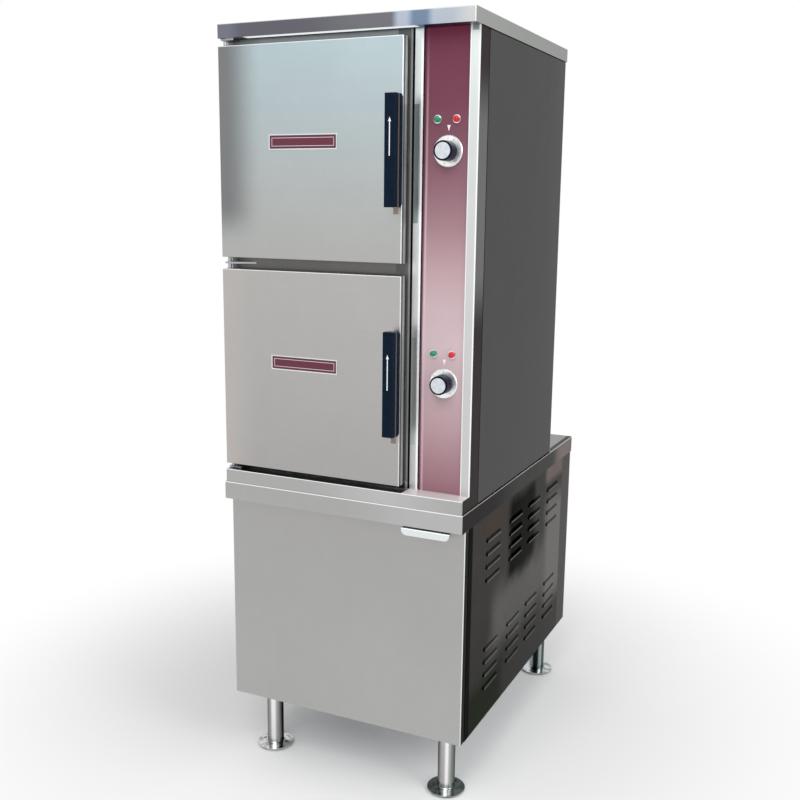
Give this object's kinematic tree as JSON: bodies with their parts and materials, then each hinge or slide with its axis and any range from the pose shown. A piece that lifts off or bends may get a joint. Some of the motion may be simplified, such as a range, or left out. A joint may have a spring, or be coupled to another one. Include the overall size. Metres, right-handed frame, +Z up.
{
  "type": "electric steaming cabinet",
  "caption": "Floor-standing electric steam cooker: stacked steam compartments with side-hinged doors and timer panel on a boiler base with legs.",
  "frame": {"origin": "on the floor under the middle of the whole object, between the handles' front and the drain outlet's tip", "axes": "+X to the right of someone facing the doors, +Y to the rear, +Z up"},
  "size_m": [0.61, 0.92, 1.756],
  "materials": {
    "brushed_panels": "brushed stainless steel, lengthways grain",
    "door_steel": "brushed stainless steel, upright grain",
    "polished_steel": "bright rolled stainless steel, near mirror",
    "side_steel": "dull dark-reflecting stainless steel",
    "leg_steel": "polished stainless steel tube",
    "liner_steel": "plain stainless steel sheet",
    "control_panel_paint": "satin maroon overlay on steel",
    "badge_plate": "maroon field in a bright steel border, bare",
    "handle_plastic": "fine-textured black moulding",
    "handle_metal": "plain stainless steel plate",
    "knob_plastic": "black moulding with fine flutes",
    "dial_metal": "spun aluminium",
    "green_lens": "translucent green lens",
    "red_lens": "translucent red lens",
    "bezel_chrome": "polished chrome",
    "gasket_rubber": "black extruded seal",
    "fastener_steel": "zinc-bright steel",
    "boiler_steel": "welded steel, grey",
    "fitting_brass": "cast and turned brass",
    "pipe_steel": "stainless steel tube",
    "gear_plastic": "dark grey moulding",
    "wool": "mineral wool",
    "lever_vinyl": "red dipped vinyl on steel"
  },
  "bodies": {
    "cabinet": {"feet": "leg_steel", "legs": "leg_steel", "leg_bolts": "fastener_steel", "floor_pan": "liner_steel", "corner_posts": "polished_steel", "base_side_left": "polished_steel", "base_side_right": "polished_steel", "base_rear_panel": "liner_steel", "deck": "brushed_panels", "base_door_hinge": "fastener_steel", "base_door_catch": "gear_plastic", "boiler_tank": "boiler_steel", "heater_assembly": "boiler_steel", "level_probe": "fitting_brass", "compartment_pipes": "pipe_steel", "steam_valves": "fitting_brass", "boiler_trim": "fitting_brass", "drain_valve": "fitting_brass", "drain_pipe": "pipe_steel", "water_line": "fitting_brass", "supply_gland": "fastener_steel", "control_tray": "liner_steel", "control_gear": "gear_plastic", "top_cap": "brushed_panels", "upper_side_left": "side_steel", "upper_side_right": "side_steel", "upper_rear_panel": "liner_steel", "front_frame": "liner_steel", "stiles": "brushed_panels", "ledge": "brushed_panels", "control_panel": "control_panel_paint", "compartment_upper": "liner_steel", "compartment_lower": "liner_steel", "pan_racks": "liner_steel", "insulation": "wool", "timers": "gear_plastic", "green_lenses": "green_lens", "red_lenses": "red_lens", "lamp_bezels": "bezel_chrome", "door_hinges": "fastener_steel", "strikes": "fastener_steel"},
    "door_upper": {"door_skin_upper": "door_steel", "door_liner_upper": "liner_steel", "door_gasket_upper": "gasket_rubber", "badge_upper": "badge_plate"},
    "door_lower": {"door_skin_lower": "door_steel", "door_liner_lower": "liner_steel", "door_gasket_lower": "gasket_rubber", "badge_lower": "badge_plate"},
    "handle_upper": {"handle_bar_upper": "handle_metal", "handle_cover_upper": "handle_plastic"},
    "handle_lower": {"handle_bar_lower": "handle_metal", "handle_cover_lower": "handle_plastic"},
    "timer_upper": {"dial_upper": "dial_metal", "knob_upper": "knob_plastic"},
    "timer_lower": {"dial_lower": "dial_metal", "knob_lower": "knob_plastic"},
    "base_door": {"base_door": "brushed_panels"},
    "drain_lever": {"drain_lever": "lever_vinyl"},
    "safety_lever": {"safety_lever": "fastener_steel"}
  },
  "joints": [
    {"name": "door_upper_hinge", "type": "hinge", "parent": "cabinet", "child": "door_upper", "pos_m": [-0.296, -0.403, 1.479], "axis": [0, 0, -1], "range_deg": [0, 115]},
    {"name": "handle_upper_lift", "type": "slide", "parent": "door_upper", "child": "handle_upper", "axis": [0, 0, 1], "range_m": [0, 0.016]},
    {"name": "timer_upper_turn", "type": "hinge", "parent": "cabinet", "child": "timer_upper", "pos_m": [0.2355, -0.382, 1.4808], "axis": [0, 1, 0], "range_deg": [0, 330]},
    {"name": "door_lower_hinge", "type": "hinge", "parent": "cabinet", "child": "door_lower", "pos_m": [-0.296, -0.403, 0.9915], "axis": [0, 0, -1], "range_deg": [0, 115]},
    {"name": "handle_lower_lift", "type": "slide", "parent": "door_lower", "child": "handle_lower", "axis": [0, 0, 1], "range_m": [0, 0.016]},
    {"name": "timer_lower_turn", "type": "hinge", "parent": "cabinet", "child": "timer_lower", "pos_m": [0.2355, -0.382, 0.9933], "axis": [0, 1, 0], "range_deg": [0, 330]},
    {"name": "base_door_swing", "type": "hinge", "parent": "cabinet", "child": "base_door", "pos_m": [-0.294, -0.391, 0.419], "axis": [0, 0, -1], "range_deg": [0, 110]},
    {"name": "drain_lever_turn", "type": "hinge", "parent": "cabinet", "child": "drain_lever", "pos_m": [0.0215, 0.124, 0.235], "axis": [0, 1, 0], "range_deg": [0, 90]},
    {"name": "safety_lever_lift", "type": "hinge", "parent": "cabinet", "child": "safety_lever", "pos_m": [-0.192, 0.108, 0.596], "axis": [0, -1, 0], "range_deg": [0, 35]}
  ]
}
